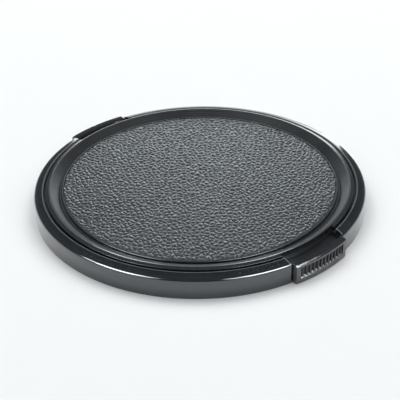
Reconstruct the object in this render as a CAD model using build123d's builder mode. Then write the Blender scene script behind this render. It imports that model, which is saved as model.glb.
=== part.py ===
"""Clip-on camera lens cap for a 72 mm filter thread.

The cap lies face up: +Z is the way the grained face looks, z = 0 is the lower edge of the skirt,
and the two pinch tabs stand on +X and -X. All sizes are in millimetres.
"""
import os
from math import asin, cos, degrees, pi, radians, sin

from build123d import *

os.makedirs("parts", exist_ok=True)

# The lens's filter ring, which the cap clips into
thread_radius = 36.0
thread_pitch = 0.75
thread_depth = 0.45
filter_ring_wall = 1.0
skirt_clearance = 0.8

# Levels, from the skirt's lower edge up
seat_depth = 1.8
slide_clearance = 0.15
slider_thickness = 1.5
disc_wall = 1.55
moat_wall = 0.8

# Rim, groove, raised ring and grained disc, from the outside in
skirt_wall = 1.2
skirt_chamfer = 0.2
rim_chamfer = 0.5
rim_top_width = 2.25
rim_rise = 0.45
rim_fall = 0.75
groove_width = 0.55
groove_depth = 0.85
shoulder_width = 1.05
shoulder_drop = 0.5
crest_rise = 0.95
crest_width = 0.14
slope_width = 2.1
moat_width = 0.4
disc_chamfer = 0.15

# Pinch tabs
tab_travel = 2.0
travel_clearance = 0.8
tab_width = 15.5
notch_clearance = 0.35
notch_inset = 0.75
grip_reach = 1.1
grip_floor_gap = 0.15
grip_low_wall = 1.1
lip_drop = 0.38
lip_chamfer = 0.35
panel_top_border = 0.83
panel_low_border = 0.98
panel_side_border = 1.1
panel_depth = 0.5
panel_slope = 0.5
rib_count = 12
rib_width = 0.42
rib_edge_setback = 0.06
rib_dip = 0.15
rib_root = 0.1
ear_width = 5.85
ear_fillet = 1.0
slider_length = 11.0
jaw_wall = 1.85
jaw_floor_gap = 0.3
jaw_ridges = 2
ridge_foot = 0.3
ridge_flat = 0.1

# Slides, springs and back plate
cavity_margin = 3.0
guide_clearance = 0.15
guide_wall = 1.2
stop_clearance = 0.15
spring_space = 9.0
spring_turns = 6
spring_runs = 12
spring_coil_radius = 0.75
spring_wire_radius = 0.12
spring_wire_sides = 6
spring_end_gap = 0.03
trough_depth = 0.35
trough_width = 3.0
post_thickness = 1.4
post_width = 5.0
spigot_radius = 0.42
spigot_length = 1.1
plate_thickness = 0.8
plate_overlap = 1.4
plate_clearance = 0.1
plate_slot_clearance = 0.35
plate_chamfer = 0.2

# Radii that follow
filter_ring_radius = thread_radius + filter_ring_wall
skirt_radius = filter_ring_radius + skirt_clearance
rim_radius = skirt_radius + skirt_wall
groove_outer_radius = rim_radius - rim_top_width
ring_radius = groove_outer_radius - groove_width
notch_radius = ring_radius - notch_inset
crest_radius = ring_radius - shoulder_width
slope_foot_radius = crest_radius - crest_width - slope_width
disc_radius = slope_foot_radius - moat_width
jaw_radius = thread_radius
slider_radius = jaw_radius
pocket_radius = slider_radius + stop_clearance
cavity_radius = pocket_radius - cavity_margin
plate_radius = cavity_radius + plate_overlap
flange_radius = skirt_radius - plate_clearance
lip_radius = notch_radius + tab_travel + travel_clearance
grip_radius = rim_radius + grip_reach

# Heights that follow
plate_bottom = seat_depth - plate_thickness
slider_bottom = seat_depth + slide_clearance
slider_top = slider_bottom + slider_thickness
roof = slider_top + slide_clearance
disc_top = roof + disc_wall
moat_floor = roof + moat_wall
rim_inner_top = disc_top + rim_rise
rim_outer_top = rim_inner_top - rim_fall
crest_top = disc_top + crest_rise
lip_top = disc_top - lip_drop
panel_low = grip_floor_gap + panel_low_border
panel_high = lip_top - panel_top_border
panel_height = panel_high - panel_low
panel_middle = (panel_low + panel_high) / 2

# Widths and lengths that follow
notch_width = tab_width + 2 * notch_clearance
slider_width = tab_width + 2 * ear_width
pocket_width = slider_width + 2 * guide_clearance
panel_width = tab_width - 2 * panel_side_border
slider_end = slider_radius - slider_length
post_face = slider_end - spring_space
spring_height = (seat_depth + roof + trough_depth) / 2
coil_start = post_face + spring_end_gap + spring_wire_radius
coil_length = spring_space - 2 * (spring_end_gap + spring_wire_radius)
guide_height = roof - seat_depth - plate_clearance
beyond = 3 * grip_radius

# Ribs: each front edge is an arc that dips between the panel's upper and lower edges
panel_half_angle = degrees(asin(panel_width / 2 / grip_radius))
rib_pitch_angle = 2 * panel_half_angle / rib_count
panel_floor_radius = grip_radius - panel_depth
rib_edge_radius = grip_radius - rib_edge_setback
rib_root_radius = panel_floor_radius - rib_root
rib_dip_radius = (panel_height**2 / 4 + rib_dip**2) / (2 * rib_dip)
rib_dip_axis_radius = rib_edge_radius - rib_dip + rib_dip_radius

# Jaw ridges, from the lowest up
jaw_inner_radius = jaw_radius - jaw_wall
jaw_root_radius = jaw_radius - thread_depth
ridge_points = []
for ridge in range(jaw_ridges):
    ridge_height = jaw_floor_gap + (ridge + 0.5) * thread_pitch
    ridge_points += [
        (jaw_root_radius, ridge_height - ridge_foot),
        (jaw_radius, ridge_height - ridge_flat / 2),
        (jaw_radius, ridge_height + ridge_flat / 2),
        (jaw_root_radius, ridge_height + ridge_foot),
    ]

# Springs: points along a coil, from the post outwards
coil_points = []
for step in range(spring_turns * spring_runs + 1):
    turn = 2 * pi * step / spring_runs
    coil_points.append(
        (
            coil_start + coil_length * step / (spring_turns * spring_runs),
            spring_coil_radius * cos(turn),
            spring_height + spring_coil_radius * sin(turn),
        )
    )

# Arcs that reach past a tab's sides, to be cut to its width
grip_sweep = 1.5 * degrees(asin(tab_width / 2 / lip_radius))
jaw_sweep = 1.5 * degrees(asin(slider_width / 2 / jaw_inner_radius))


def corner(sketch, radius, height):
    """The sketch's corner at a radius and a height."""
    return sketch.vertices().sort_by_distance((radius, height, 0))[0]


def radial_plane(angle):
    """The upright plane through the cap's axis, turned by an angle from +X."""
    turn = radians(angle)
    return Plane((0, 0, 0), x_dir=(cos(turn), sin(turn), 0), z_dir=(sin(turn), -cos(turn), 0))


# Cover: one moulding, turned from its section, then notched
with BuildPart() as front_cover:
    with BuildSketch(Plane.XZ) as cover_section:
        with BuildLine():
            Polyline(
                (0, disc_top),
                (disc_radius, disc_top),
                (disc_radius, moat_floor),
                (slope_foot_radius, moat_floor),
                (crest_radius - crest_width, crest_top),
                (crest_radius, crest_top),
                (ring_radius, crest_top - shoulder_drop),
                (ring_radius, disc_top - groove_depth),
                (groove_outer_radius, disc_top - groove_depth),
                (groove_outer_radius, rim_inner_top),
                (rim_radius, rim_outer_top),
                (rim_radius, 0),
                (skirt_radius, 0),
                (skirt_radius, roof),
                (0, roof),
                close=True,
            )
        make_face()
        chamfer(corner(cover_section, rim_radius, rim_outer_top), rim_chamfer)
        chamfer(corner(cover_section, disc_radius, disc_top), disc_chamfer)
        chamfer(corner(cover_section, skirt_radius, 0), skirt_chamfer)
    revolve(axis=Axis.Z)

    # Notches that let the grips in as far as the ring's shoulder
    with BuildSketch():
        Rectangle(beyond, notch_width)
        Circle(notch_radius, mode=Mode.SUBTRACT)
    extrude(amount=crest_top, mode=Mode.SUBTRACT)

    # Trough over the two springs
    with BuildSketch(Plane.XY.offset(roof)):
        Rectangle(2 * slider_end, trough_width)
    extrude(amount=trough_depth, mode=Mode.SUBTRACT)

# Back plate: one moulding, set into the cover from below, in which the sliders and springs lie
with BuildPart() as back_plate:
    with BuildSketch(Plane.XY.offset(plate_bottom)):
        Circle(plate_radius)
        for side in (1, -1):
            with BuildSketch(mode=Mode.PRIVATE) as jaw_way:
                with Locations((side * beyond / 2, 0)):
                    Rectangle(beyond, pocket_width)
                with Locations((-side * tab_travel, 0)):
                    Circle(jaw_inner_radius - plate_slot_clearance, mode=Mode.SUBTRACT)
            add(jaw_way.sketch, mode=Mode.SUBTRACT)
    extrude(amount=plate_thickness)
    chamfer(back_plate.faces().sort_by(Axis.Z)[0].outer_wire().edges(), plate_chamfer)

    # Flange that stops the filter ring, with pockets for the sliders and gaps for the grips
    with BuildSketch(Plane.XY.offset(seat_depth)):
        Circle(flange_radius)
        Circle(cavity_radius, mode=Mode.SUBTRACT)
        with BuildSketch(mode=Mode.PRIVATE) as pockets:
            Circle(pocket_radius)
            Rectangle(beyond, pocket_width, mode=Mode.INTERSECT)
        add(pockets.sketch, mode=Mode.SUBTRACT)
        Rectangle(beyond, notch_width, mode=Mode.SUBTRACT)
    extrude(amount=roof - seat_depth)

    # Guide walls beside the sliders
    with BuildSketch(Plane.XY.offset(seat_depth)):
        with GridLocations(0, pocket_width + guide_wall, 1, 2):
            Rectangle(2 * plate_radius, guide_wall)
        Circle(plate_radius, mode=Mode.INTERSECT)
        Rectangle(2 * post_face, beyond, mode=Mode.SUBTRACT)
    extrude(amount=guide_height)

    # Spring posts, each with a spigot that the coil sits on
    with BuildSketch(Plane.XY.offset(seat_depth)):
        with GridLocations(2 * post_face - post_thickness, 0, 2, 1):
            Rectangle(post_thickness, post_width)
    extrude(amount=guide_height)
    for side in (1, -1):
        with BuildSketch(Plane(origin=(side * post_face, 0, spring_height), z_dir=(side, 0, 0))):
            Circle(spigot_radius)
        extrude(amount=spigot_length)

# Grip: an upright wall round the rim, with a sunk and ribbed finger panel across its face
with BuildPart() as grip:
    with BuildSketch(radial_plane(-grip_sweep)) as grip_section:
        with BuildLine():
            Polyline(
                (grip_radius, grip_floor_gap),
                (grip_radius, lip_top),
                (lip_radius, lip_top),
                (lip_radius, slider_bottom),
                (grip_radius - grip_low_wall, slider_bottom),
                (grip_radius - grip_low_wall, grip_floor_gap),
                close=True,
            )
        make_face()
    revolve(axis=Axis.Z, revolution_arc=2 * grip_sweep)
    with BuildSketch():
        Rectangle(beyond, tab_width)
    extrude(amount=disc_top, mode=Mode.INTERSECT)
    chamfer(grip.edges().group_by(Axis.Z)[-1].filter_by(GeomType.CIRCLE), lip_chamfer)
    with BuildSketch(radial_plane(-panel_half_angle)):
        with BuildLine():
            Polyline(
                (grip_radius, panel_low),
                (panel_floor_radius, panel_low + panel_slope),
                (panel_floor_radius, panel_high - panel_slope),
                (grip_radius, panel_high),
                (grip_radius + panel_depth, panel_high),
                (grip_radius + panel_depth, panel_low),
                close=True,
            )
        make_face()
    revolve(axis=Axis.Z, revolution_arc=2 * panel_half_angle, mode=Mode.SUBTRACT)
    for rib in range(rib_count):
        with BuildSketch(radial_plane((rib + 0.5) * rib_pitch_angle - panel_half_angle)):
            with Locations(((rib_root_radius + rib_edge_radius) / 2, panel_middle)):
                Rectangle(rib_edge_radius - rib_root_radius, panel_height)
            with Locations((rib_dip_axis_radius, panel_middle)):
                Circle(rib_dip_radius, mode=Mode.SUBTRACT)
        extrude(amount=rib_width / 2, both=True)

# Jaw: an arc with ridges that catch in the filter thread
with BuildPart() as jaw:
    with BuildSketch(radial_plane(-jaw_sweep)):
        with BuildLine():
            Polyline(
                (jaw_inner_radius, slider_top),
                (jaw_inner_radius, jaw_floor_gap),
                (jaw_root_radius, jaw_floor_gap),
                *ridge_points,
                (jaw_root_radius, slider_bottom),
                (jaw_root_radius, slider_top),
                close=True,
            )
        make_face()
    revolve(axis=Axis.Z, revolution_arc=2 * jaw_sweep)
    with BuildSketch():
        Rectangle(beyond, slider_width)
    extrude(amount=slider_top, mode=Mode.INTERSECT)

# Tab: slider, jaw and grip in one moulding
with BuildPart() as tab_right:
    with BuildSketch(Plane.XY.offset(slider_bottom)) as slider_outline:
        Circle(slider_radius)
        with Locations((slider_end + beyond / 2, 0)):
            Rectangle(beyond, slider_width, mode=Mode.INTERSECT)
        fillet(slider_outline.vertices().group_by(Axis.X)[0], ear_fillet)
        with BuildSketch(mode=Mode.PRIVATE) as neck_outline:
            Circle(grip_radius - grip_low_wall)
            with Locations((slider_end + beyond / 2, 0)):
                Rectangle(beyond, tab_width, mode=Mode.INTERSECT)
        add(neck_outline.sketch)
    extrude(amount=slider_thickness)
    add(jaw.part)
    add(grip.part)
    with BuildSketch(Plane(origin=(slider_end, 0, spring_height), z_dir=(-1, 0, 0))):
        Circle(spigot_radius)
    extrude(amount=spigot_length)

with BuildPart() as tab_left:
    add(tab_right.part, rotation=(0, 0, 180))

# Springs: a coil from each post to its tab
with BuildPart() as spring_right:
    with BuildLine() as coil:
        Polyline(*coil_points)
    with BuildSketch(Plane(origin=coil.line @ 0, z_dir=coil.line % 0)):
        RegularPolygon(spring_wire_radius, spring_wire_sides)
    sweep(path=coil.line, transition=Transition.RIGHT)

with BuildPart() as spring_left:
    add(spring_right.part, rotation=(0, 0, 180))

pieces = {
    "front_cover": front_cover,
    "back_plate": back_plate,
    "tab_right": tab_right,
    "tab_left": tab_left,
    "spring_right": spring_right,
    "spring_left": spring_left,
}
for name, piece in pieces.items():
    piece.part.label = name
    export_step(piece.part, f"parts/{name}.step")
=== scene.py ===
import math
from typing import NamedTuple

import bmesh
import bpy
from bpy.props import FloatProperty, FloatVectorProperty, IntProperty, PointerProperty
from mathutils import Matrix, Vector


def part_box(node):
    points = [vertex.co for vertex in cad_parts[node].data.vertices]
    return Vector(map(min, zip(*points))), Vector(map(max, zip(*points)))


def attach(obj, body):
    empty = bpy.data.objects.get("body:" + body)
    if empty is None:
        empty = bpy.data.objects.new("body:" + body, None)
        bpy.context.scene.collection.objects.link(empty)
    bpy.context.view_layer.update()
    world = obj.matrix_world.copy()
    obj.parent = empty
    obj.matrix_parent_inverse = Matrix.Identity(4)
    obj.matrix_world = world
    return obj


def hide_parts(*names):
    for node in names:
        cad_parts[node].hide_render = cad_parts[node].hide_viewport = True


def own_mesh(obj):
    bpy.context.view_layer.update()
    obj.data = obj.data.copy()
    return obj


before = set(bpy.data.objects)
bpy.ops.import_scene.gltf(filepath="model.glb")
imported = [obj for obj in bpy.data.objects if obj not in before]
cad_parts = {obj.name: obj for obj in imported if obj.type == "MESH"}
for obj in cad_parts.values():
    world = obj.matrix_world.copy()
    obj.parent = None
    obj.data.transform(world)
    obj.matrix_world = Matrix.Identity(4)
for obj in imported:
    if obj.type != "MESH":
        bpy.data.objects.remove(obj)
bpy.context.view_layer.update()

bl_info = {
    "name": "Lens Cap Looks",
    "version": (1, 0, 0),
    "blender": (4, 5, 0),
    "location": "3D View > Sidebar > Lens Cap",
    "description": "Dresses the packed lens cap in its grain, gloss and wear, on a pale table",
    "category": "Object",
}

MM = 0.001
COVER_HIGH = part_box("front_cover")[1]
GRIP_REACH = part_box("tab_right")[1].x

# Turns past which the cover's and the grain's edges stay sharp, and the tabs' edges are softened
COVER_CREASE = math.radians(28)
GRAIN_CREASE = math.radians(60)
TAB_CREASE = math.radians(35)

# Softness, in millimetres, of the borders of worn zones and of finer ones
SOFT = 0.08
FINE = 0.05

PLASTIC_IOR = 1.6
WHITE = (1, 1, 1)

# The sensor's width is in millimetres, and the other lengths are in metres
SENSOR_WIDTH = 36
NEAR_CLIP = 0.01
TABLE_REACH = 3
WELD_REACH = 1e-6
ON_AXIS = 1e-9


def length(title, text, size):
    """A size in metres, given in millimetres."""
    return FloatProperty(name=title, description=text, default=size * MM, unit="LENGTH", precision=5)


def angle(title, text, degrees):
    """An angle, given in degrees."""
    return FloatProperty(name=title, description=text, default=math.radians(degrees), subtype="ANGLE")


def colour(title, text, red, green, blue):
    """A linear base colour."""
    return FloatVectorProperty(
        name=title, description=text, default=(red, green, blue), subtype="COLOR", size=3, min=0, max=1
    )


def amount(title, text, value):
    """A plain number."""
    return FloatProperty(name=title, description=text, default=value)


def count(title, text, number, least=1):
    """A whole number."""
    return IntProperty(name=title, description=text, default=number, min=least)


class CoverSizes(bpy.types.PropertyGroup):
    """The turned section of the cover, and its notches."""

    disc_top: length("Disc top", "Height of the grained disc", 5.15)
    rim_outer: length("Rim outer height", "Height at which the rim's top would meet its wall", 4.85)
    rim_inner: length("Rim inner height", "Height of the rim's inner edge", 5.6)
    rim_round: length("Rim round", "Radius of the rim's outer edge", 0.9)
    groove_outer: length("Groove outer radius", "Radius of the rim's inner edge", 36.75)
    groove_floor: length("Groove floor", "Height of the groove's floor", 4.3)
    ring_radius: length("Ring radius", "Radius of the raised ring's outer wall", 36.2)
    ring_edge: length("Ring edge", "Height of the raised ring's outer edge", 5.6)
    notch_radius: length("Notch radius", "Radius of a notch's inner face", 35.45)
    notch_width: length("Notch width", "Width of the gap that a grip stands in", 16.2)
    notch_steps: count("Notch steps", "Facets of a notch's inner face", 24)
    crest_radius: length("Crest radius", "Radius of the crest's outer edge", 35.22)
    crest_width: length("Crest width", "Width of the crest", 0.28)
    crest_fall: length("Crest fall", "Fall of the crest's outer side to the shoulder", 0.236)
    crest_lean: length("Crest lean", "Width of the crest's outer side", 0.16)
    slope_foot: length("Slope foot radius", "Radius at which the inner slope starts", 32.91)
    moat_floor: length("Moat floor", "Height of the floor round the grained disc", 4.4)
    disc_radius: length("Disc radius", "Radius of the grained disc", 32.51)
    skirt_radius: length("Skirt radius", "Inner radius of the skirt", 37.8)
    roof: length("Roof", "Height of the disc's underside", 3.6)
    edge_round: length("Edge round", "Radius of the small moulded edges", 0.1)
    crest_round: length("Crest round", "Radius of the crest's rounded side", 0.37)
    inner_round: length("Inner round", "Radius of the rim's inner edge", 0.2)
    disc_border: length("Disc border", "Width of the plain edge round the grain", 0.42)
    disc_round: length("Disc round", "Radius of the disc's edge", 0.3)
    line_depth: length("Line depth", "Depth of the turned lines on the slope", 0.008)
    line_count: count("Lines", "Turned lines on the slope", 7, least=0)
    segments: count("Segments", "Facets round the cover", 480, least=48)


class GrainSizes(bpy.types.PropertyGroup):
    """The pebbled leather grain of the disc."""

    cell: length("Pebble", "Typical width of a pebble", 1.05)
    stretch: amount("Stretch", "Length of a pebble along the grain, as a share of its width", 1.2)
    turn: angle("Turn", "Turn of the grain about the cap's axis", 48)
    depth: length("Depth", "Depth of the creases between pebbles", 0.14)
    swell: length("Swell", "Height of the low waves that run over the pebbles", 0.05)
    crease: amount("Crease", "Width of a crease, as a share of a pebble", 0.4)
    wander: amount("Wander", "How far noise bends the pebbles' outlines", 0.7)
    gap: length("Gap", "Gap between the grain and the disc's plain edge", 0.02)
    edge_width: length("Edge width", "Width of the disc's rounded edge", 0.45)
    edge_drop: length("Edge drop", "Fall of the disc's rounded edge", 0.16)
    thickness: length("Thickness", "Thickness of the grained layer", 0.24)
    steps: count("Steps", "Mesh steps along a quarter of the disc", 262, least=16)
    seed: amount("Seed", "Shift of the noise", 3.7)


class TabSizes(bpy.types.PropertyGroup):
    """Softened edges of a pinch tab, and where its finish changes."""

    edge_round: length("Edge round", "Width of the softened edges", 0.12)
    edge_steps: count("Edge steps", "Facets across a softened edge", 2)
    width: length("Width", "Width of the grip", 15.5)
    lip_foot: length("Lip foot", "Height at which the gloss lip starts", 4.3)
    lip_back: length("Lip back", "Radius of the lip's inner edge", 38.25)
    lip_front: length("Lip front", "Radius at which the lip's front edge starts", 39.625)
    back_edge: length("Back edge", "Height above which the lip's inner edge is worn", 4.6)
    side_edge: length("Side edge", "Height above which the lip's side edges are worn", 4.56)
    grip_back: length("Grip back", "Radius outside which the grip is greyed", 38.75)
    panel_foot: length("Panel foot", "Height at which the finger panel's dull part starts", 1.6)
    panel_top: length("Panel top", "Height of the finger panel's upper edge", 3.94)
    panel_side: length("Panel side", "Half the width of the finger panel", 6.6)
    panel_back: length("Panel back", "Radius outside which the finger panel is dull", 39.4)


class SpringSizes(bpy.types.PropertyGroup):
    """The coil springs behind the tabs."""

    wire: length("Wire", "Radius of the wire", 0.12)
    wire_sides: count("Wire sides", "Facets round the wire", 10, least=3)
    turns: count("Turns", "Turns of a coil", 6)
    turn_steps: count("Turn steps", "Facets of each turn", 24, least=6)
    travel: length("Travel", "How far a pinch shortens a coil", 2.0)


class Finishes(bpy.types.PropertyGroup):
    """Colours of the mouldings and the wire."""

    gloss: colour("Gloss black", "Cover and tabs", 0.0112, 0.0132, 0.0158)
    grain: colour("Grain black", "Grained disc", 0.021, 0.0224, 0.0234)
    satin: colour("Satin black", "Back plate", 0.025, 0.026, 0.027)
    # Also the colour of the painted highlights and of the paler hollows
    scuff: colour("Scuff", "Plastic that wear has whitened", 0.3, 0.31, 0.32)
    steel: colour("Steel", "Spring wire", 0.62, 0.61, 0.58)
    cool: colour("Cool sheen", "Tint of what the cover and the grain mirror", 0.9, 0.96, 1.0)


class WearAmounts(bpy.types.PropertyGroup):
    """How far use has dulled and greyed the mouldings, how pale their hollows are, and how bright the
    painted highlights along the tabs' lips are.
    """

    crest: amount("Crest", "Wear along the raised ring's crest", 1.6)
    shoulder: amount("Shoulder", "Wear on the raised ring's shoulder", 0.45)
    rim: amount("Rim", "Wear along the rim's inner edge", 3.2)
    disc: amount("Disc", "Wear along the disc's edge", 0.8)
    greying: amount("Greying", "How much a worn edge pales", 0.06)
    dulling: amount("Dulling", "How much rougher a worn edge is", 0.3)
    nicks: amount("Nicks", "How pale a nick in a worn edge is", 0.5)
    flecks: amount("Flecks", "How pale a fleck on the rim's top is", 0.25)
    # How much paler the groove and the moat are painted
    dust: amount("Paling", "How much dust lies in the groove and the moat", 0.12)
    lip_nicks: amount("Lip nicks", "How pale a nick in a tab's lip is", 0.4)
    # Painted highlight along the side edges of a tab's lip
    lip_sides: amount("Lip sides", "How pale the side edges of a tab's lip are", 0.5)
    # Painted highlight along the inner edge of a tab's lip
    lip_back: amount("Lip back", "How pale the inner edge of a tab's lip is", 0.1)


class StageSizes(bpy.types.PropertyGroup):
    """Camera, light and table."""

    view_turn: angle("View turn", "Turn of the camera from the front", 48.34)
    view_fall: angle("View fall", "Fall of the camera's line of sight", 32.262)
    view_roll: angle("View roll", "Roll of the camera", -1.203)
    view_reach: length("View reach", "Level distance from the cap's axis to the camera", 251.6)
    view_height: length("View height", "Height of the camera above the table", 159.05)
    lens: length("Lens", "Focal length", 112.5)
    table: colour("Table", "Pale table", 0.86, 0.875, 0.88)
    far_table: colour("Far table", "White that the table fades to", 0.93, 0.95, 0.957)
    far_start: length("Far start", "Distance at which the table starts to fade", 250)
    far_end: length("Far end", "Distance at which the table has faded", 800)
    sheen: colour("Sheen", "Tint of the lamps that the gloss mirrors", 0.93, 0.985, 1.0)
    sky: colour("Room", "Dim light from the room", 0.12, 0.126, 0.132)


class LensCapSettings(bpy.types.PropertyGroup):
    """All that a user would change."""

    cover: PointerProperty(type=CoverSizes)
    grain: PointerProperty(type=GrainSizes)
    tab: PointerProperty(type=TabSizes)
    spring: PointerProperty(type=SpringSizes)
    finish: PointerProperty(type=Finishes)
    wear: PointerProperty(type=WearAmounts)
    stage: PointerProperty(type=StageSizes)


class Wire:
    """A socket in a node tree. Arithmetic on it adds Math nodes, and node() adds any other node."""

    def __init__(self, tree, socket=None):
        self.tree = tree
        self.socket = socket

    def node(self, kind, options=None, sockets=None, output=0):
        """Adds a node, sets its options, then its sockets by name or place, and gives one output."""
        made = self.tree.nodes.new(kind)
        for key, value in (options or {}).items():
            setattr(made, key, value)
        for key, value in (sockets or {}).items():
            if isinstance(value, Wire):
                self.tree.links.new(value.socket, made.inputs[key])
            else:
                made.inputs[key].default_value = value
        return Wire(self.tree, made.outputs[output])

    def math(self, operation, *values):
        """A Math node on these values."""
        return self.node("ShaderNodeMath", {"operation": operation}, dict(enumerate(values)))

    def __add__(self, other):
        return self.math("ADD", self, other)

    def __radd__(self, other):
        return self.math("ADD", other, self)

    def __sub__(self, other):
        return self.math("SUBTRACT", self, other)

    def __rsub__(self, other):
        return self.math("SUBTRACT", other, self)

    def __mul__(self, other):
        return self.math("MULTIPLY", self, other)

    def __rmul__(self, other):
        return self.math("MULTIPLY", other, self)

    def __truediv__(self, other):
        return self.math("DIVIDE", self, other)

    def __rtruediv__(self, other):
        return self.math("DIVIDE", other, self)

    def __pow__(self, other):
        return self.math("POWER", self, other)

    def __rpow__(self, other):
        return self.math("POWER", other, self)

    def step(self, low, high, curve="SMOOTHSTEP"):
        """0 below low, 1 above high and smooth between."""
        return self.node(
            "ShaderNodeMapRange", {"interpolation_type": curve}, {0: self, 1: low, 2: high, 3: 0.0, 4: 1.0}
        )

    def parts(self):
        """The x, y and z of a vector."""
        split = self.node("ShaderNodeSeparateXYZ", None, {0: self}).socket.node
        return [Wire(self.tree, socket) for socket in split.outputs]

    def vector(self, x, y, z):
        """A vector from three numbers or wires."""
        return self.node("ShaderNodeCombineXYZ", None, {0: x, 1: y, 2: z})

    def turned(self, turn):
        """This vector, turned about Z."""
        return self.node(
            "ShaderNodeVectorRotate", {"rotation_type": "Z_AXIS"}, {"Vector": self, "Angle": turn}
        )

    def noise(self, scale, detail=2.0, rough=0.5, output=0):
        """Noise at this place, about 0.5 on average."""
        values = {"Vector": self, "Scale": scale, "Detail": detail, "Roughness": rough}
        return self.node("ShaderNodeTexNoise", None, values, output)

    def blend(self, low, high):
        """Colour low where this mask is 0, and high where it is 1."""
        return self.node("ShaderNodeMix", {"data_type": "RGBA"}, {0: self, 6: low, 7: high}, output=2)

    def bump(self, strength, depth):
        """A normal that follows this height, to a depth in millimetres."""
        values = {"Strength": strength, "Distance": depth * MM, "Height": self}
        return self.node("ShaderNodeBump", None, values)


def settings():
    return bpy.context.scene.lens_cap


def add_object(name, data):
    obj = bpy.data.objects.new(name, data)
    bpy.context.scene.collection.objects.link(obj)
    return obj


def add_shape(name, work):
    """An object from finished bmesh work."""
    mesh = bpy.data.meshes.new(name)
    work.to_mesh(mesh)
    work.free()
    return add_object(name, mesh)


def bake_modifiers(obj):
    """Turns an object's modified form into its plain mesh."""
    depsgraph = bpy.context.evaluated_depsgraph_get()
    mesh = bpy.data.meshes.new_from_object(obj.evaluated_get(depsgraph))
    obj.modifiers.clear()
    old = obj.data
    obj.data = mesh
    mesh.name = obj.name
    bpy.data.meshes.remove(old)
    return obj


def grow(name, tree, sizes):
    """Runs a Geometry Nodes tree with these named sizes, and gives its result as a plain mesh."""
    obj = add_object(name, bpy.data.meshes.new(name))
    modifier = obj.modifiers.new("Grow", "NODES")
    modifier.node_group = tree
    for item in tree.interface.items_tree:
        if item.in_out == "INPUT":
            modifier[item.identifier] = sizes[item.name]
    return bake_modifiers(obj)


def growing_tree(name, inputs):
    """An empty Geometry Nodes tree with named inputs, and a wire for each."""
    tree = bpy.data.node_groups.new(name, "GeometryNodeTree")
    tree.interface.new_socket(name="Mesh", in_out="OUTPUT", socket_type="NodeSocketGeometry")
    for title, kind in inputs.items():
        tree.interface.new_socket(name=title, in_out="INPUT", socket_type=kind)
    entry = tree.nodes.new("NodeGroupInput")
    wires = {title: Wire(tree, entry.outputs[title]) for title in inputs}
    return tree, wires


def close_tree(tree, mesh, finish):
    """Ends a tree in real geometry with a material."""
    real = mesh.node("GeometryNodeRealizeInstances", None, {0: mesh})
    smooth = real.node("GeometryNodeSetShadeSmooth", None, {0: real})
    painted = smooth.node("GeometryNodeSetMaterial", None, {0: smooth, "Material": finish})
    last = tree.nodes.new("NodeGroupOutput")
    tree.links.new(painted.socket, last.inputs[0])


def sharpen(mesh, crease):
    """Smooth faces, with edges that turn by more than an angle left sharp."""
    work = bmesh.new()
    work.from_mesh(mesh)
    for face in work.faces:
        face.smooth = True
    for edge in work.edges:
        edge.smooth = len(edge.link_faces) == 2 and edge.calc_face_angle() < crease
    work.to_mesh(mesh)
    work.free()


def round_corners(corners, steps=6):
    """Points of an outline whose corners are (x, y, radius), each corner an arc of that radius."""
    points = []
    for place, (x, y, radius) in enumerate(corners):
        here = Vector((x, y))
        if not radius:
            points.append(here)
            continue
        before = Vector(corners[place - 1][:2]) - here
        after = Vector(corners[(place + 1) % len(corners)][:2]) - here
        half = before.angle(after) / 2
        reach = radius / math.tan(half)
        start = here + before.normalized() * reach
        end = here + after.normalized() * reach
        inward = (before.normalized() + after.normalized()).normalized()
        centre = here + inward * radius / math.sin(half)
        for step in range(steps + 1):
            spoke = (start - centre).lerp(end - centre, step / steps)
            points.append(centre + spoke.normalized() * radius)
    return points


def new_material(name):
    """A material, its Principled shader, and a wire to build its nodes from."""
    made = bpy.data.materials.new(name)
    made.use_nodes = True
    shader = made.node_tree.nodes["Principled BSDF"]
    return made, shader, Wire(made.node_tree)


def feed(shader, title, value):
    """Links a wire to one of a shader's sockets."""
    shader.id_data.links.new(value.socket, shader.inputs[title])


def shine(shader, level, tint=WHITE):
    """Sets how strongly a moulding mirrors, and in what tint."""
    shader.inputs["IOR"].default_value = PLASTIC_IOR
    shader.inputs["Specular IOR Level"].default_value = level
    shader.inputs["Specular Tint"].default_value = rgb(tint)


def cover_with(shader, other, mask):
    """Shows another shader in place of the first where a mask is 1."""
    tree = shader.id_data
    both = other.node("ShaderNodeMixShader", None, {0: mask, 1: Wire(tree, shader.outputs[0]), 2: other})
    tree.links.new(both.socket, tree.nodes["Material Output"].inputs["Surface"])


def rgb(shade, factor=1):
    """A socket's colour from a red, green and blue, made lighter or darker."""
    return (*(part * factor for part in shade), 1)


def above(value, level, soft):
    """0 below a level and 1 above it, with a soft edge."""
    return value.step(level - soft, level + soft)


def band(value, low, high, soft=SOFT):
    """1 between two levels, with soft edges."""
    return above(value, low, soft) * (1 - above(value, high, soft))


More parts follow.
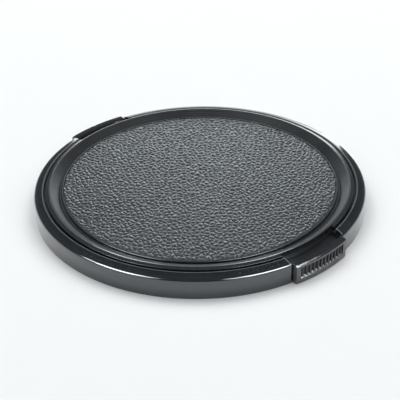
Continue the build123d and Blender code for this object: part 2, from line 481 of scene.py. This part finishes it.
def gloss_black():
    """Gloss black moulded plastic: handling haze, hairlines round the axis, worn, greyed edges, paler
    hollows, and painted highlights on notch edges and slope rings.
    """
    look, size, wear = settings().finish, settings().cover, settings().wear
    made, shader, start = new_material("gloss_black")
    place = start.node("ShaderNodeTexCoord", output="Object")
    x, y, z = place.parts()
    radius = (x * x + y * y) ** 0.5 / MM
    turn = x.math("ARCTAN2", y, x)
    across = y.math("ABSOLUTE", y) / MM
    height = z / MM
    haze = place.noise(160, 3)
    hairlines = place.vector(radius * 5.2, turn * 9, z * 5200).noise(1, 2)
    grit = place.noise(3200, 3, 0.6)

    # Zones of the face, in millimetres
    disc_top, disc_edge = size.disc_top / MM, size.disc_radius / MM
    crest_in = (size.crest_radius - size.crest_width) / MM
    crest_out = (size.crest_radius + size.crest_lean) / MM
    rim_in, rim_out = size.groove_outer / MM, COVER_HIGH.y / MM
    notch_side = size.notch_width / 2 / MM
    face = above(height, disc_top - 0.15, 0.1)
    disc = band(radius, disc_edge - size.disc_border / MM, disc_edge + 0.1, FINE)
    slope = band(radius, size.slope_foot / MM, crest_in)
    crest = band(radius, crest_in, crest_out)
    shoulder = band(radius, crest_out, size.ring_radius / MM)
    rim_edge = band(radius, rim_in - 0.02, rim_in + 0.3)
    rim = above(radius, rim_in + FINE, FINE)
    outside = above(radius, rim_out - 0.9, 0.1)

    # Worn edges, with nicks in them
    worn = face * (wear.crest * crest + wear.shoulder * shoulder + wear.rim * rim_edge + wear.disc * disc)
    scuffed = worn * (0.55 + 0.9 * grit)
    nicks = worn * place.noise(1900, 4, 0.7).step(0.66, 0.7)

    # Flecks on the rim's top, most of them beside the notches
    beside_notch = (y / MM).step(6, 9) * (1 - across.step(9, 15))
    patches = 0.6 * place.noise(70, 2).step(0.52, 0.66) + beside_notch
    flecks = face * rim * patches * place.noise(2600, 3, 0.7).step(0.56, 0.66)

    # Paler tone in the moat and the groove, and a painted highlight along the notches' upper edges
    # The moat and the groove are painted paler
    hollow = band(radius, disc_edge, rim_in, FINE) * (1 - above(height, disc_top - 0.45, 0.2))
    rim_slope = (size.rim_inner - size.rim_outer) / (COVER_HIGH.y - size.groove_outer)
    depth = size.rim_inner / MM - rim_slope * (radius - rim_in) - height
    # Painted highlight: a pale line along the upper edges of the notches' sides, where they catch the light
    corner = band(across, notch_side - 0.1, notch_side + 0.2, FINE) * (1 - above(depth, 0.13, 0.07))
    corner = corner * rim * (0.3 + 0.7 * grit)

    shine(shader, 0.6, look.cool)
    black = (haze.step(0.35, 0.75) * 0.5).blend(rgb(look.gloss), rgb(look.gloss, 1.5))
    greyed = (scuffed * wear.greying).blend(black, rgb(look.scuff))
    # Pale nicks and flecks, the paler hollows, and painted highlights along the notches' edges
    pale = nicks * wear.nicks + flecks * wear.flecks + corner + hollow * wear.dust
    feed(shader, "Base Color", pale.blend(greyed, rgb(look.scuff)))
    feed(shader, "Roughness", 0.05 + 0.07 * haze + 0.05 * hairlines + wear.dulling * scuffed)
    feed(shader, "Coat Weight", outside + 0.8 * face * crest)
    feed(shader, "Normal", hairlines.bump(0.06, 0.02))

    # The inner slope is duller, with fine turned rings painted pale as highlights
    rings = radius.math("SINE", radius * 14).step(0.3, 0.9) * haze.step(0.3, 0.6)
    dull = start.node(
        "ShaderNodeBsdfPrincipled",
        None,
        {
            "Base Color": (rings * 0.09 + 0.02).blend(black, rgb(look.scuff)),
            "Roughness": 0.42,
            "Specular IOR Level": 0.3,
        },
    )
    cover_with(shader, dull, slope)
    return made


def grip_black():
    """Pinch tab: a gloss lip with nicks and painted highlights along its side and inner edges, over a grip
    and a slider that are satin and a little greyed.
    """
    look, size, wear = settings().finish, settings().tab, settings().wear
    made, shader, start = new_material("grip_black")
    place = start.node("ShaderNodeTexCoord", output="Object")
    x, y, z = place.parts()
    radius = (x * x + y * y) ** 0.5 / MM
    across = y.math("ABSOLUTE", y) / MM
    height = z / MM
    haze = place.noise(300, 3)
    grit = place.noise(2600, 3, 0.6)

    # Zones of the tab, in millimetres
    side, back = size.width / 2 / MM, size.lip_back / MM
    lip = above(height, size.lip_foot / MM, 0.1)
    lip_front = above(radius, size.lip_front / MM, 0.075) * lip
    # The lip's inner edge is rougher, and painted paler as a highlight
    lip_back = band(radius, back - 0.05, back + 0.15, 0.06) * above(height, size.back_edge / MM, 0.05)
    # Painted highlight: a pale line along the lip's side edges, where they catch the light
    lip_sides = band(across, side - 0.15, side + 0.05, 0.04) * above(height, size.side_edge / MM, 0.06)
    grip = above(radius, size.grip_back / MM, 0.15)
    panel = band(height, size.panel_foot / MM, size.panel_top / MM, 0.06)
    panel = panel * (1 - above(across, size.panel_side / MM, 0.1))
    panel = panel * above(radius, size.panel_back / MM, 0.1)

    dull = (1 - lip) * (0.5 + 0.8 * grit)
    nicks = lip * place.noise(1700, 4, 0.7).step(0.68, 0.72)
    shine(shader, 1.0)
    greyed = (dull * (0.015 + 0.075 * grip)).blend(rgb(look.gloss), rgb(look.scuff))
    sides = lip_sides * (0.3 + 0.7 * grit)
    # Pale nicks, and painted highlights along the lip's side and inner edges
    pale = nicks * wear.lip_nicks + sides * wear.lip_sides + lip_back * wear.lip_back
    feed(shader, "Base Color", pale.blend(greyed, rgb(look.scuff)))
    feed(shader, "Roughness", 0.06 + 0.06 * haze + 0.3 * dull + 0.12 * lip_front + 0.5 * lip_back)
    relief = grit.bump(0.15, 0.02)
    feed(shader, "Normal", relief)

    # The finger panel is duller still
    satin = start.node(
        "ShaderNodeBsdfPrincipled",
        None,
        {
            "Base Color": (0.05 + 0.08 * grit).blend(rgb(look.gloss), rgb(look.scuff)),
            "Roughness": 0.45,
            "Specular IOR Level": 0.3,
            "Normal": relief,
        },
    )
    cover_with(shader, satin, panel * 0.8)
    return made


def grain_black():
    """Pebbled grain: a soft sheen with fine pores, and broad patches of lighter black."""
    look = settings().finish
    made, shader, start = new_material("grain_black")
    place = start.node("ShaderNodeTexCoord", output="Object")
    fine = place.noise(5200, 3)
    broad = place.noise(90, 2)
    shine(shader, 1.0, look.cool)
    feed(shader, "Base Color", broad.step(0.3, 0.7).blend(rgb(look.grain), rgb(look.grain, 1.25)))
    feed(shader, "Roughness", 0.3 + 0.1 * fine)
    feed(shader, "Normal", fine.bump(0.25, 0.03))
    return made


def satin_black():
    """Satin black moulded plastic."""
    look = settings().finish
    made, shader, start = new_material("satin_black")
    grit = start.node("ShaderNodeTexCoord", output="Object").noise(2600, 3)
    feed(shader, "Base Color", grit.blend(rgb(look.satin), rgb(look.satin, 1.3)))
    feed(shader, "Roughness", 0.38 + 0.18 * grit)
    feed(shader, "Normal", grit.bump(0.2, 0.03))
    return made


def spring_steel():
    """Drawn spring wire."""
    look = settings().finish
    made, shader, start = new_material("spring_steel")
    drawn = start.node("ShaderNodeTexCoord", output="Object").noise(3000, 2)
    shader.inputs["Metallic"].default_value = 1
    feed(shader, "Base Color", drawn.blend(rgb(look.steel, 0.8), rgb(look.steel)))
    feed(shader, "Roughness", 0.2 + 0.15 * drawn)
    return made


def material(make):
    """A finish, made once."""
    return bpy.data.materials.get(make.__name__) or make()


def paint(obj, make):
    """Gives an object one finish."""
    obj.data.materials.clear()
    obj.data.materials.append(material(make))


def cover_section():
    """Corners of the cover's section as (radius, height, edge radius), from the disc's middle outwards."""
    size = settings().cover
    layer = settings().grain.thickness
    small = size.edge_round
    rim = COVER_HIGH.y
    crest_in = size.crest_radius - size.crest_width
    grain_edge = size.disc_radius - size.disc_border
    corners = [
        (0, size.disc_top - layer, 0),
        (grain_edge, size.disc_top - layer, 0),
        (grain_edge, size.disc_top, 0),
        (size.disc_radius, size.disc_top, size.disc_round),
        (size.disc_radius, size.moat_floor, small),
        (size.slope_foot, size.moat_floor, small),
    ]
    foot, crest = Vector((size.slope_foot, size.moat_floor)), Vector((crest_in, COVER_HIGH.z))
    along = crest - foot
    inward = Vector((along.y, -along.x)).normalized()
    pitch = 1 / (size.line_count + 1)
    for line in range(size.line_count):
        middle = (line + 1) * pitch
        for share, sink in ((middle - pitch / 4, 0), (middle, size.line_depth), (middle + pitch / 4, 0)):
            point = foot + along * share + inward * sink
            corners.append((point.x, point.y, 0))
    corners += [
        (crest_in, COVER_HIGH.z, small / 2),
        (size.crest_radius, COVER_HIGH.z, size.crest_round),
        (size.crest_radius + size.crest_lean, COVER_HIGH.z - size.crest_fall, 0),
        (size.ring_radius, size.ring_edge, small),
        (size.ring_radius, size.groove_floor, small / 2),
        (size.groove_outer, size.groove_floor, small / 2),
        (size.groove_outer, size.rim_inner, size.inner_round),
        (rim, size.rim_outer, size.rim_round),
        (rim, 0, small),
        (size.skirt_radius, 0, small),
        (size.skirt_radius, size.roof, 0),
        (0, size.roof, 0),
    ]
    return corners


def turn_section(name, points, segments):
    """A closed solid turned round Z from an outline that starts and ends on the axis."""
    work = bmesh.new()
    rings = []
    spokes = [2 * math.pi * place / segments for place in range(segments)]
    for point in points:
        if point.x < ON_AXIS:
            rings.append([work.verts.new((0, 0, point.y))] * segments)
        else:
            ring = [(point.x * math.cos(spoke), point.x * math.sin(spoke), point.y) for spoke in spokes]
            rings.append([work.verts.new(spot) for spot in ring])
    for low, high in zip(rings, rings[1:]):
        for place in range(segments):
            after = (place + 1) % segments
            face = dict.fromkeys((low[place], low[after], high[after], high[place]))
            work.faces.new(face)
    bmesh.ops.recalc_face_normals(work, faces=work.faces)
    return add_shape(name, work)


def notch_cutter(side):
    """The block that cuts a notch: parallel sides, and an inner face round the raised ring."""
    size = settings().cover
    half = size.notch_width / 2
    wall = size.notch_radius
    swing = math.asin(half / wall)
    margin = MM
    beyond = GRIP_REACH * 1.1
    spokes = [swing * (2 * step / size.notch_steps - 1) for step in range(size.notch_steps + 1)]
    outline = [(wall * math.cos(spoke), wall * math.sin(spoke)) for spoke in spokes]
    outline += [(beyond, half), (beyond, -half)]
    work = bmesh.new()
    floor = work.faces.new([work.verts.new((side * x, side * y, -margin)) for x, y in outline])
    top = bmesh.ops.extrude_face_region(work, geom=[floor])["geom"]
    lifted = [item for item in top if isinstance(item, bmesh.types.BMVert)]
    bmesh.ops.translate(work, vec=(0, 0, COVER_HIGH.z + 2 * margin), verts=lifted)
    bmesh.ops.recalc_face_normals(work, faces=work.faces)
    return add_shape("notch_cutter", work)


class LENSCAP_OT_cover(bpy.types.Operator):
    """Turn the cover with its rounded edges and cut the two notches"""

    bl_idname = "lenscap.cover"
    bl_label = "Cover"

    def execute(self, context):
        shell = turn_section("cover_shell", round_corners(cover_section()), settings().cover.segments)
        for side in (1, -1):
            cutter = notch_cutter(side)
            cut = shell.modifiers.new("Notch", "BOOLEAN")
            cut.operation = "DIFFERENCE"
            cut.solver = "EXACT"
            cut.object = cutter
            bake_modifiers(shell)
            bpy.data.objects.remove(cutter)
        sharpen(shell.data, COVER_CREASE)
        paint(shell, gloss_black)
        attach(shell, "cover")
        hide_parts("front_cover")
        return {"FINISHED"}


def grain_tree():
    """Geometry Nodes: a square grid pressed into a quarter of a disc, then raised into pebbles."""
    numbers = (
        "Radius", "Height", "Quarter turn", "Pebble", "Stretch", "Grain turn", "Depth", "Swell", "Crease",
        "Wander", "Edge width", "Edge drop", "Seed",
    )
    inputs = {"Steps": "NodeSocketInt", **dict.fromkeys(numbers, "NodeSocketFloat")}
    tree, size = growing_tree("grain", inputs)
    start = Wire(tree)
    grid = start.node(
        "GeometryNodeMeshGrid",
        None,
        {"Size X": 1.0, "Size Y": 1.0, "Vertices X": size["Steps"], "Vertices Y": size["Steps"]},
    )

    # Each point's place in the quarter
    across, along, _ = start.node("GeometryNodeInputPosition").parts()
    a, b = across + 0.5, along + 0.5
    quarter_x = a * (1 - b * b / 2) ** 0.5 * size["Radius"]
    quarter_y = b * (1 - a * a / 2) ** 0.5 * size["Radius"]
    x, y, _ = start.vector(quarter_x, quarter_y, 0.0).turned(size["Quarter turn"]).parts()

    # Pebbles: cells whose outlines noise has bent
    wide, long, _ = start.vector(x, y, 0.0).turned(0 - size["Grain turn"]).parts()
    spot = start.vector(wide / size["Pebble"], long / size["Pebble"] / size["Stretch"], size["Seed"])
    drift = start.node(
        "ShaderNodeVectorMath",
        {"operation": "SUBTRACT"},
        {0: spot.noise(1.3, 2, 0.6, output="Color"), 1: (0.5, 0.5, 0.5)},
    )
    bent = start.node(
        "ShaderNodeVectorMath",
        {"operation": "MULTIPLY_ADD"},
        {0: drift, 1: start.vector(size["Wander"], size["Wander"], 0.0), 2: spot},
    )
    crease = start.node(
        "ShaderNodeTexVoronoi",
        {"feature": "DISTANCE_TO_EDGE", "voronoi_dimensions": "2D"},
        {"Vector": bent, "Scale": 1.0},
    )
    pebble = crease.step(0.0, size["Crease"], "SMOOTHERSTEP")
    swell = spot.noise(0.9, 2) - 0.5

    # The disc's edge rounds off
    away = (x * x + y * y) ** 0.5
    inside = (size["Radius"] - away) / size["Edge width"]
    edge = 1 - inside.math("MINIMUM", inside, 1.0)
    raised = size["Height"] - size["Depth"] * (1 - pebble) + size["Swell"] * swell
    height = raised - size["Edge drop"] * edge * edge
    pressed = start.node("GeometryNodeSetPosition", None, {0: grid, "Position": start.vector(x, y, height)})
    close_tree(tree, pressed, material(grain_black))
    return tree


def close_below(mesh, floor):
    """Draws a sheet's border down to a level floor and closes it there."""
    work = bmesh.new()
    work.from_mesh(mesh)
    border = [edge for edge in work.edges if edge.is_boundary]
    made = bmesh.ops.extrude_edge_only(work, edges=border)["geom"]
    for vert in (item for item in made if isinstance(item, bmesh.types.BMVert)):
        vert.co.z = floor
    bmesh.ops.contextual_create(work, geom=[item for item in made if isinstance(item, bmesh.types.BMEdge)])
    bmesh.ops.recalc_face_normals(work, faces=work.faces)
    work.to_mesh(mesh)
    work.free()


class LENSCAP_OT_grain(bpy.types.Operator):
    """Emboss the leather grain of the disc"""

    bl_idname = "lenscap.grain"
    bl_label = "Grained disc"

    def execute(self, context):
        size, grain = settings().cover, settings().grain
        tree = grain_tree()
        for quarter in range(4):
            piece = grow(
                f"grain_quarter_{quarter + 1}",
                tree,
                {
                    "Radius": size.disc_radius - size.disc_border - grain.gap,
                    "Height": size.disc_top + grain.depth / 4,
                    "Steps": grain.steps,
                    "Quarter turn": quarter * math.pi / 2,
                    "Pebble": grain.cell,
                    "Stretch": grain.stretch,
                    "Grain turn": grain.turn,
                    "Depth": grain.depth,
                    "Swell": grain.swell,
                    "Crease": grain.crease,
                    "Wander": grain.wander,
                    "Edge width": grain.edge_width,
                    "Edge drop": grain.edge_drop,
                    "Seed": grain.seed,
                },
            )
            close_below(piece.data, size.disc_top - grain.thickness)
            sharpen(piece.data, GRAIN_CREASE)
            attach(piece, "cover")
        return {"FINISHED"}


def soften_edges(node, width, steps):
    """Joins a node's loose faces and rounds its edges a little, by modifiers alone."""
    joined = node.modifiers.new("Join", "WELD")
    joined.merge_threshold = WELD_REACH
    soft = node.modifiers.new("Soften", "BEVEL")
    soft.width = width
    soft.segments = steps
    soft.limit_method = "ANGLE"
    soft.angle_limit = TAB_CREASE
    soft.use_clamp_overlap = True
    soft.harden_normals = True


class LENSCAP_OT_tabs(bpy.types.Operator):
    """Finish the two pinch tabs"""

    bl_idname = "lenscap.tabs"
    bl_label = "Pinch tabs"

    def execute(self, context):
        size = settings().tab
        for name in ("tab_right", "tab_left"):
            soften_edges(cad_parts[name], size.edge_round, size.edge_steps)
            paint(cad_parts[name], grip_black)
        return {"FINISHED"}


class LENSCAP_OT_plate(bpy.types.Operator):
    """Finish the back plate"""

    bl_idname = "lenscap.plate"
    bl_label = "Back plate"

    def execute(self, context):
        paint(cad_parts["back_plate"], satin_black)
        return {"FINISHED"}


def spring_tree():
    """Geometry Nodes: round wire along a coil that lies along X."""
    tree, size = growing_tree(
        "spring",
        {
            "Start": "NodeSocketVector",
            "Length": "NodeSocketFloat",
            "Coil": "NodeSocketFloat",
            "Turns": "NodeSocketFloat",
            "Turn steps": "NodeSocketInt",
            "Wire": "NodeSocketFloat",
            "Wire sides": "NodeSocketInt",
        },
    )
    start = Wire(tree)
    coil = start.node(
        "GeometryNodeCurveSpiral",
        None,
        {
            "Resolution": size["Turn steps"],
            "Rotations": size["Turns"],
            "Start Radius": size["Coil"],
            "End Radius": size["Coil"],
            "Height": size["Length"],
        },
    )
    laid = start.node(
        "GeometryNodeTransform",
        None,
        {0: coil, "Translation": size["Start"], "Rotation": (0, math.pi / 2, 0)},
    )
    ring = start.node(
        "GeometryNodeCurvePrimitiveCircle", None, {"Resolution": size["Wire sides"], "Radius": size["Wire"]}
    )
    wire = start.node("GeometryNodeCurveToMesh", None, {0: laid, "Profile Curve": ring, "Fill Caps": True})
    close_tree(tree, wire, material(spring_steel))
    return tree


class LENSCAP_OT_springs(bpy.types.Operator):
    """Wind the two coil springs"""

    bl_idname = "lenscap.springs"
    bl_label = "Springs"

    def execute(self, context):
        size = settings().spring
        tree = spring_tree()
        for side, sign in (("right", 1), ("left", -1)):
            low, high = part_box(f"spring_{side}")
            coil = grow(
                f"coil_{side}",
                tree,
                {
                    "Start": (low.x + size.wire, 0, (low.z + high.z) / 2),
                    "Length": high.x - low.x - 2 * size.wire,
                    "Coil": (high.z - low.z) / 2 - size.wire,
                    "Turns": float(size.turns),
                    "Turn steps": size.turn_steps,
                    "Wire": size.wire,
                    "Wire sides": size.wire_sides,
                },
            )
            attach(coil, "cover")
            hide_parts(f"spring_{side}")
            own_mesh(coil)
        return {"FINISHED"}


def table_white():
    """Pale table, whose far part reads as plain white to the eye and in the gloss."""
    size = settings().stage
    made, shader, start = new_material("table_white")
    place = start.node("ShaderNodeTexCoord", output="Object")
    shader.inputs["Roughness"].default_value = 0.9
    shader.inputs["Specular IOR Level"].default_value = 0.1
    feed(shader, "Base Color", place.noise(3, 2).blend(rgb(size.table), rgb(size.table, 0.985)))
    x, y, _ = place.parts()
    far = ((x * x + y * y) ** 0.5).step(size.far_start, size.far_end)
    seen = start.node("ShaderNodeLightPath", output="Is Camera Ray")
    for ray in ("Is Glossy Ray", "Is Transmission Ray"):
        seen = seen.math("MAXIMUM", seen, start.node("ShaderNodeLightPath", output=ray))
    white = start.node("ShaderNodeEmission", None, {"Color": rgb(size.far_table), "Strength": 1.0})
    cover_with(shader, white, far * seen)
    return made


class Lamp(NamedTuple):
    """A softbox that faces the cap, with its turn from the camera's line and its rise in degrees.

    Lengths are in metres. The gloss mirrors it, or else it gives soft light alone, and it may light
    one node only.
    """

    name: str
    turn: float
    rise: float
    reach: float
    wide: float
    tall: float
    radiance: float
    mirrored: bool
    only: str = ""


LAMPS = (
    Lamp("key_left", -57, 31, reach=1.5, wide=0.7, tall=0.75, radiance=7.8, mirrored=True),
    Lamp("halo_left", -57, 31, reach=1.52, wide=1.3, tall=0.6, radiance=7.2, mirrored=True),
    Lamp("key_right", 43, 31, reach=1.5, wide=0.7, tall=0.75, radiance=7.0, mirrored=True),
    Lamp("halo_right", 43, 31, reach=1.52, wide=1.3, tall=0.6, radiance=6.5, mirrored=True),
    Lamp(
        "glint_right", 74, 45, reach=1.5, wide=0.26, tall=0.16, radiance=14, mirrored=True, only="tab_right"
    ),
    Lamp("soft_left", -70, 40, reach=1.5, wide=1.0, tall=0.8, radiance=0.95, mirrored=False),
    Lamp("soft_right", 70, 40, reach=1.5, wide=1.0, tall=0.8, radiance=1.25, mirrored=False),
    Lamp("soft_back_left", -142, 55, reach=1.5, wide=1.0, tall=1.0, radiance=2.78, mirrored=False),
    Lamp("soft_back_right", 142, 55, reach=1.5, wide=1.0, tall=1.0, radiance=2.78, mirrored=False),
    Lamp("glow_back", 178, 12, reach=0.25, wide=0.2, tall=0.1, radiance=4.0, mirrored=True),
    Lamp("soft_top", 180, 88, reach=1.5, wide=1.6, tall=1.6, radiance=1.05, mirrored=False),
)


def place_lamp(lamp):
    size = settings().stage
    turn, rise = size.view_turn + math.radians(lamp.turn), math.radians(lamp.rise)
    back = Vector((math.sin(turn) * math.cos(rise), -math.cos(turn) * math.cos(rise), math.sin(rise)))
    data = bpy.data.lights.new(lamp.name, "AREA")
    data.shape = "RECTANGLE"
    data.size = lamp.wide
    data.size_y = lamp.tall
    data.energy = lamp.radiance * math.pi * lamp.wide * lamp.tall
    if lamp.mirrored:
        data.color = size.sheen
    made = add_object(lamp.name, data)
    made.location = back * lamp.reach
    made.rotation_euler = back.to_track_quat("Z", "Y").to_euler()
    made.visible_camera = False
    made.visible_glossy = lamp.mirrored
    made.visible_diffuse = not lamp.mirrored
    if lamp.only:
        lit = bpy.data.collections.new(lamp.name)
        lit.objects.link(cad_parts[lamp.only])
        made.light_linking.receiver_collection = lit


def place_camera():
    size = settings().stage
    ahead = Vector((-math.sin(size.view_turn), math.cos(size.view_turn), 0))
    right = Vector((ahead.y, -ahead.x, 0))
    sight = ahead * math.cos(size.view_fall) - Vector((0, 0, math.sin(size.view_fall)))
    upward = right.cross(sight)
    across = right * math.cos(size.view_roll) + upward * math.sin(size.view_roll)
    raised = upward * math.cos(size.view_roll) - right * math.sin(size.view_roll)
    eye = Vector((0, 0, size.view_height)) - ahead * size.view_reach
    data = bpy.data.cameras.new("camera")
    data.sensor_width = SENSOR_WIDTH
    data.lens = size.lens / MM
    data.clip_start = NEAR_CLIP
    camera = add_object("camera", data)
    camera.matrix_world = Matrix.Translation(eye) @ Matrix((across, raised, -sight)).transposed().to_4x4()
    return camera


class LENSCAP_OT_stage(bpy.types.Operator):
    """Lay the table, set the lamps and place the camera"""

    bl_idname = "lenscap.stage"
    bl_label = "Table, lamps and camera"

    def execute(self, context):
        work = bmesh.new()
        bmesh.ops.create_grid(work, x_segments=1, y_segments=1, size=TABLE_REACH)
        table = add_shape("table", work)
        paint(table, table_white)
        for lamp in LAMPS:
            place_lamp(lamp)
        world = bpy.data.worlds.new("room")
        world.use_nodes = True
        world.node_tree.nodes["Background"].inputs["Color"].default_value = rgb(settings().stage.sky)
        context.scene.world = world
        context.scene.view_settings.view_transform = "Standard"
        context.scene.camera = place_camera()
        return {"FINISHED"}


class LENSCAP_PT_panel(bpy.types.Panel):
    """Lists the steps and sizes"""

    bl_idname = "LENSCAP_PT_panel"
    bl_label = "Lens Cap"
    bl_space_type = "VIEW_3D"
    bl_region_type = "UI"
    bl_category = "Lens Cap"

    def draw(self, context):
        for step in STEPS:
            self.layout.operator(step.bl_idname)
        for group in LensCapSettings.__annotations__:
            box = self.layout.box()
            held = getattr(context.scene.lens_cap, group)
            for title in held.__annotations__:
                box.prop(held, title)


STEPS = (
    LENSCAP_OT_cover,
    LENSCAP_OT_grain,
    LENSCAP_OT_tabs,
    LENSCAP_OT_plate,
    LENSCAP_OT_springs,
    LENSCAP_OT_stage,
)
CLASSES = (
    CoverSizes,
    GrainSizes,
    TabSizes,
    SpringSizes,
    Finishes,
    WearAmounts,
    StageSizes,
    LensCapSettings,
    *STEPS,
    LENSCAP_PT_panel,
)


def register():
    for item in CLASSES:
        bpy.utils.register_class(item)
    bpy.types.Scene.lens_cap = PointerProperty(type=LensCapSettings)


def unregister():
    del bpy.types.Scene.lens_cap
    for item in reversed(CLASSES):
        bpy.utils.unregister_class(item)


def main():
    register()
    bpy.ops.lenscap.cover()
    bpy.ops.lenscap.grain()
    bpy.ops.lenscap.tabs()
    bpy.ops.lenscap.plate()
    bpy.ops.lenscap.springs()
    bpy.ops.lenscap.stage()


if __name__ == "__main__":
    main()
